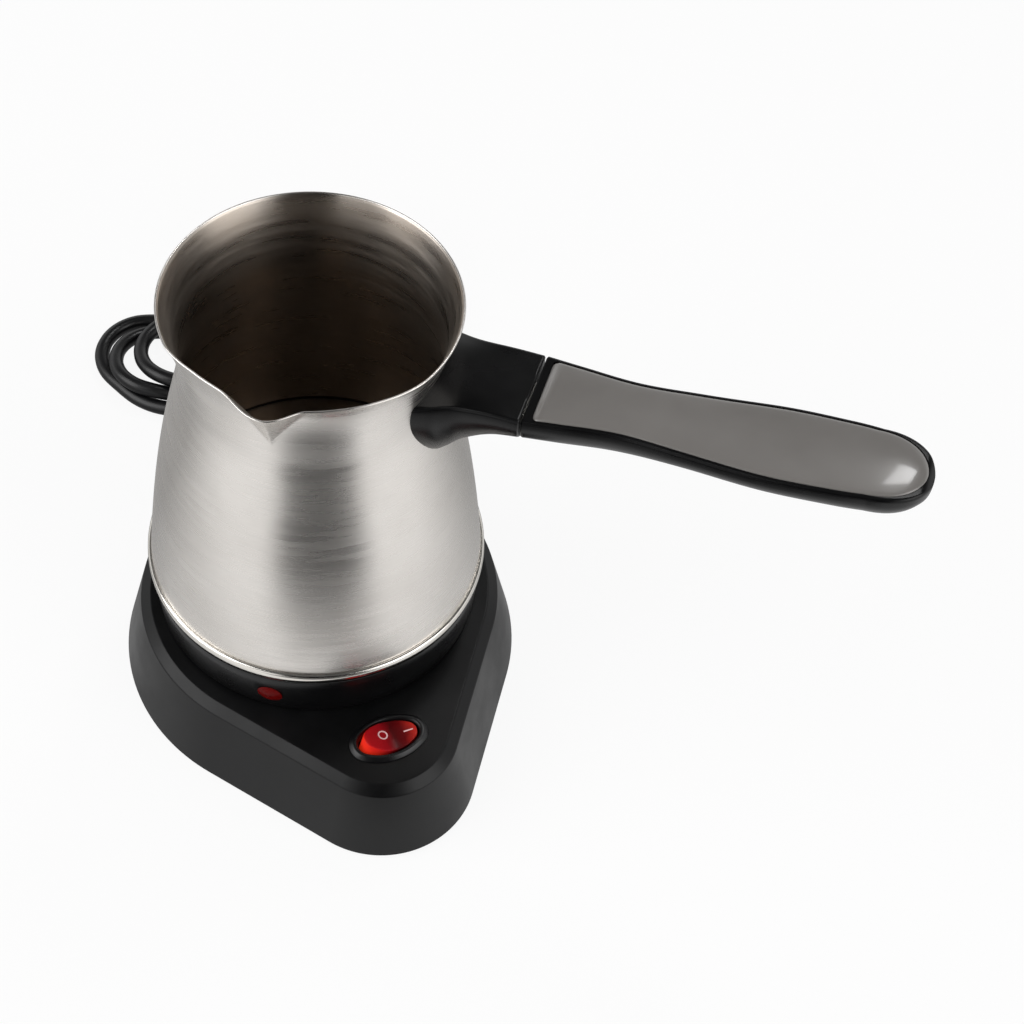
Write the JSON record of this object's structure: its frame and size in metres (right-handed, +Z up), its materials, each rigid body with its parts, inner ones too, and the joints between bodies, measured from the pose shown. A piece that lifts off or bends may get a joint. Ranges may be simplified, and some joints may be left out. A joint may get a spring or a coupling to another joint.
{
  "type": "electric turkish coffee maker",
  "caption": "Necked steel coffee pot with a pouring lip, plastic skirt and side handle, standing on a tear-shaped mains base with a red rocker switch; the pot turns and lifts off.",
  "frame": {"origin": "on the pot's axis, in the plane of the base's feet", "axes": "+X along the handle, +Z up, +Y away from the picture's camera"},
  "size_m": [0.2772, 0.2273, 0.1526],
  "materials": {
    "base_plastic": "satin black, slightly glossy on top",
    "inner_plastic": "matt dark moulding",
    "rubber": "matt",
    "screw_steel": "zinc plated",
    "brass": "plain",
    "switch_plastic": "glossy black",
    "wire_cover": "wire insulation",
    "lead_cover": "soft satin black",
    "tie": "coated wire strip",
    "pin_metal": "nickel plated",
    "red_plastic": "clear red, lit from inside",
    "lamp_glass": "clear",
    "pot_steel": "brushed upwards, satin",
    "ring_steel": "polished",
    "plate_metal": "as rolled",
    "element_metal": "heat-darkened",
    "skirt_plastic": "satin black",
    "red_lens": "clear red",
    "handle_plastic": "satin black",
    "inlay_plastic": "warm grey metallic lacquer"
  },
  "bodies": {
    "base": {"base_housing": "base_plastic", "base_cover": "inner_plastic", "foot_ring": "rubber", "tip_feet": "rubber", "cover_screws": "screw_steel", "lower_connector": "inner_plastic", "connector_screws": "screw_steel", "live_spring": "brass", "neutral_spring": "brass", "earth_contact": "brass", "switch_case": "switch_plastic", "switch_terminals": "brass", "cord_clamp": "inner_plastic", "clamp_screws": "screw_steel", "base_wires": "wire_cover", "strain_relief": "lead_cover", "cord_inner": "lead_cover", "cord_lead": "lead_cover", "cord_hank": "lead_cover", "cord_tie": "tie", "cord_tail": "lead_cover", "plug_body": "lead_cover", "plug_pins": "pin_metal"},
    "sleeve": {"contact_sleeve": "brass"},
    "rocker": {"rocker": "red_plastic", "rocker_plunger": "inner_plastic", "rocker_lamp": "lamp_glass"},
    "lever": {"contact_lever": "brass"},
    "pot": {"pot_wall": "pot_steel", "pot_floor": "pot_steel", "pot_ring": "ring_steel", "heat_plate": "plate_metal", "heating_element": "element_metal", "thermostat": "inner_plastic", "thermal_fuse": "screw_steel", "seal_ring": "rubber", "pot_skirt": "skirt_plastic", "skirt_screws": "screw_steel", "upper_connector": "inner_plastic", "upper_screws": "screw_steel", "earth_pin": "brass", "live_tube": "brass", "neutral_tube": "brass", "lamp_lens": "red_lens", "lamp_bulb": "lamp_glass", "pot_wires": "wire_cover", "handle_plate": "screw_steel", "handle_bracket": "handle_plastic", "handle_screws": "screw_steel", "grip_body": "handle_plastic", "grip_inlay": "inlay_plastic"}
  },
  "joints": [
    {"name": "pot_turn", "type": "hinge", "parent": "base", "child": "sleeve", "pos_m": [0, 0, 0.028], "axis": [0, 0, 1], "continuous": true},
    {"name": "pot_lift", "type": "slide", "parent": "sleeve", "child": "pot", "axis": [0, 0, 1], "range_m": [0, 0.06]},
    {"name": "rocker_tilt", "type": "hinge", "parent": "base", "child": "rocker", "pos_m": [0.03908, -0.04658, 0.027], "axis": [0.6428, -0.766, 0], "range_deg": [0, 20]},
    {"name": "lever_tilt", "type": "hinge", "parent": "base", "child": "lever", "pos_m": [0.03908, -0.04658, 0.0178], "axis": [0.6428, -0.766, 0], "range_deg": [-16, 0]}
  ],
  "couplings": [
    {"joint": "lever_tilt", "follows": "rocker_tilt", "ratio": -0.8}
  ]
}
